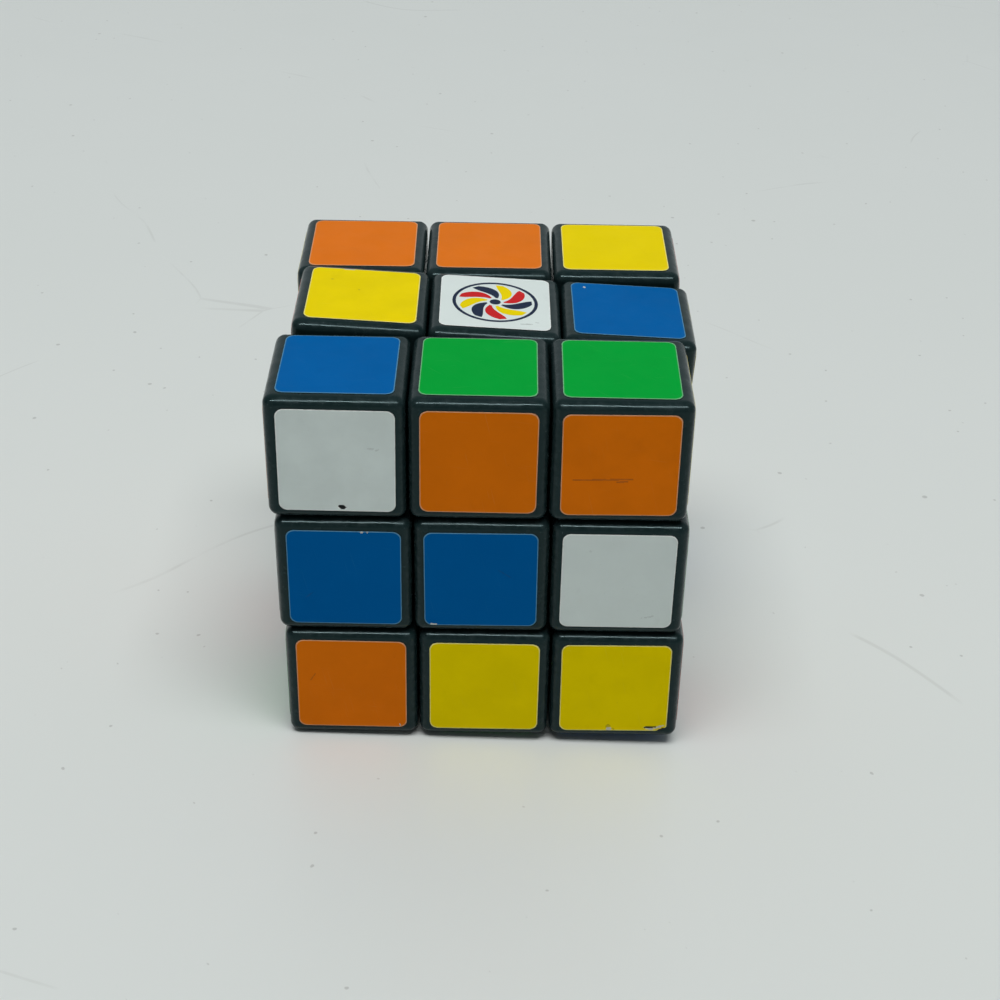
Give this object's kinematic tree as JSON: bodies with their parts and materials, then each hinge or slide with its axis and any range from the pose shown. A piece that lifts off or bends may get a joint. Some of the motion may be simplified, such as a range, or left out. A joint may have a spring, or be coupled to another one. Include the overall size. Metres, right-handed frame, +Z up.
{
  "type": "twisty puzzle cube",
  "caption": "Stickered twisty puzzle cube with hollow cubies on a sprung core; front and back layers turn and the centre cubies lift against their springs.",
  "frame": {"origin": "middle of the core, where the three turning axes cross", "axes": "+Z up; the front face looks along -Y; the front and back layers turn about Y"},
  "size_m": [0.0594, 0.057, 0.0584],
  "materials": {
    "black_plastic": "moulded, semi-gloss, rubbed along the edges",
    "core_plastic": "plain moulded",
    "screw_steel": "bright zinc-plated",
    "spring_steel": "drawn wire",
    "white_vinyl": "vinyl film, lightly scuffed",
    "blue_vinyl": "vinyl film, lightly scuffed",
    "orange_vinyl": "vinyl film, lightly scuffed",
    "green_vinyl": "vinyl film, lightly scuffed",
    "red_vinyl": "vinyl film, lightly scuffed",
    "yellow_vinyl": "vinyl film, lightly scuffed"
  },
  "bodies": {
    "middle_layer": {"core_spider": "core_plastic", "centre_screws": "screw_steel", "centre_springs": "spring_steel", "down_left_edge": "black_plastic", "down_right_edge": "black_plastic", "middle_layer_blue_stickers": "blue_vinyl", "middle_layer_feet": "black_plastic", "middle_layer_red_stickers": "red_vinyl", "middle_layer_white_stickers": "white_vinyl", "middle_layer_yellow_stickers": "yellow_vinyl", "up_left_edge": "black_plastic", "up_right_edge": "black_plastic"},
    "front_layer": {"down_front_edge": "black_plastic", "down_front_left_corner": "black_plastic", "down_front_right_corner": "black_plastic", "front_layer_blue_stickers": "blue_vinyl", "front_layer_feet": "black_plastic", "front_layer_green_stickers": "green_vinyl", "front_layer_orange_stickers": "orange_vinyl", "front_layer_red_stickers": "red_vinyl", "front_layer_white_stickers": "white_vinyl", "front_layer_yellow_stickers": "yellow_vinyl", "front_left_edge": "black_plastic", "front_right_edge": "black_plastic", "up_front_edge": "black_plastic", "up_front_left_corner": "black_plastic", "up_front_right_corner": "black_plastic"},
    "back_layer": {"back_layer_blue_stickers": "blue_vinyl", "back_layer_feet": "black_plastic", "back_layer_green_stickers": "green_vinyl", "back_layer_orange_stickers": "orange_vinyl", "back_layer_red_stickers": "red_vinyl", "back_layer_white_stickers": "white_vinyl", "back_layer_yellow_stickers": "yellow_vinyl", "back_left_edge": "black_plastic", "back_right_edge": "black_plastic", "down_back_edge": "black_plastic", "down_back_left_corner": "black_plastic", "down_back_right_corner": "black_plastic", "up_back_edge": "black_plastic", "up_back_left_corner": "black_plastic", "up_back_right_corner": "black_plastic"},
    "up_centre": {"up_centre_base": "black_plastic", "up_centre_cap": "black_plastic", "up_centre_sticker": "white_vinyl"},
    "down_centre": {"down_centre_base": "black_plastic", "down_centre_cap": "black_plastic", "down_centre_sticker": "yellow_vinyl"},
    "left_centre": {"left_centre_base": "black_plastic", "left_centre_cap": "black_plastic", "left_centre_sticker": "red_vinyl"},
    "right_centre": {"right_centre_base": "black_plastic", "right_centre_cap": "black_plastic", "right_centre_sticker": "orange_vinyl"},
    "front_centre": {"front_centre_base": "black_plastic", "front_centre_cap": "black_plastic", "front_centre_sticker": "blue_vinyl"},
    "back_centre": {"back_centre_base": "black_plastic", "back_centre_cap": "black_plastic", "back_centre_sticker": "green_vinyl"}
  },
  "joints": [
    {"name": "front_layer_turn", "type": "hinge", "parent": "middle_layer", "child": "front_layer", "pos_m": [0, 0, 0], "axis": [0, 1, 0], "continuous": true},
    {"name": "back_layer_turn", "type": "hinge", "parent": "middle_layer", "child": "back_layer", "pos_m": [0, 0, 0], "axis": [0, 1, 0], "continuous": true},
    {"name": "up_centre_lift", "type": "slide", "parent": "middle_layer", "child": "up_centre", "axis": [0.0244, 0, 0.9997], "range_m": [0, 0.0006], "stiffness_N_per_m": 800, "springref_m": -0.002, "deforming": ["centre_springs"]},
    {"name": "down_centre_lift", "type": "slide", "parent": "middle_layer", "child": "down_centre", "axis": [-0.0244, 0, -0.9997], "range_m": [0, 0.0006], "stiffness_N_per_m": 800, "springref_m": -0.002, "deforming": ["centre_springs"]},
    {"name": "left_centre_lift", "type": "slide", "parent": "middle_layer", "child": "left_centre", "axis": [-0.9997, 0, 0.0244], "range_m": [0, 0.0006], "stiffness_N_per_m": 800, "springref_m": -0.002, "deforming": ["centre_springs"]},
    {"name": "right_centre_lift", "type": "slide", "parent": "middle_layer", "child": "right_centre", "axis": [0.9997, 0, -0.0244], "range_m": [0, 0.0006], "stiffness_N_per_m": 800, "springref_m": -0.002, "deforming": ["centre_springs"]},
    {"name": "front_centre_lift", "type": "slide", "parent": "front_layer", "child": "front_centre", "axis": [0, -1, 0], "range_m": [0, 0.0006], "stiffness_N_per_m": 800, "springref_m": -0.002, "deforming": ["centre_springs"]},
    {"name": "back_centre_lift", "type": "slide", "parent": "back_layer", "child": "back_centre", "axis": [0, 1, 0], "range_m": [0, 0.0006], "stiffness_N_per_m": 800, "springref_m": -0.002, "deforming": ["centre_springs"]}
  ]
}
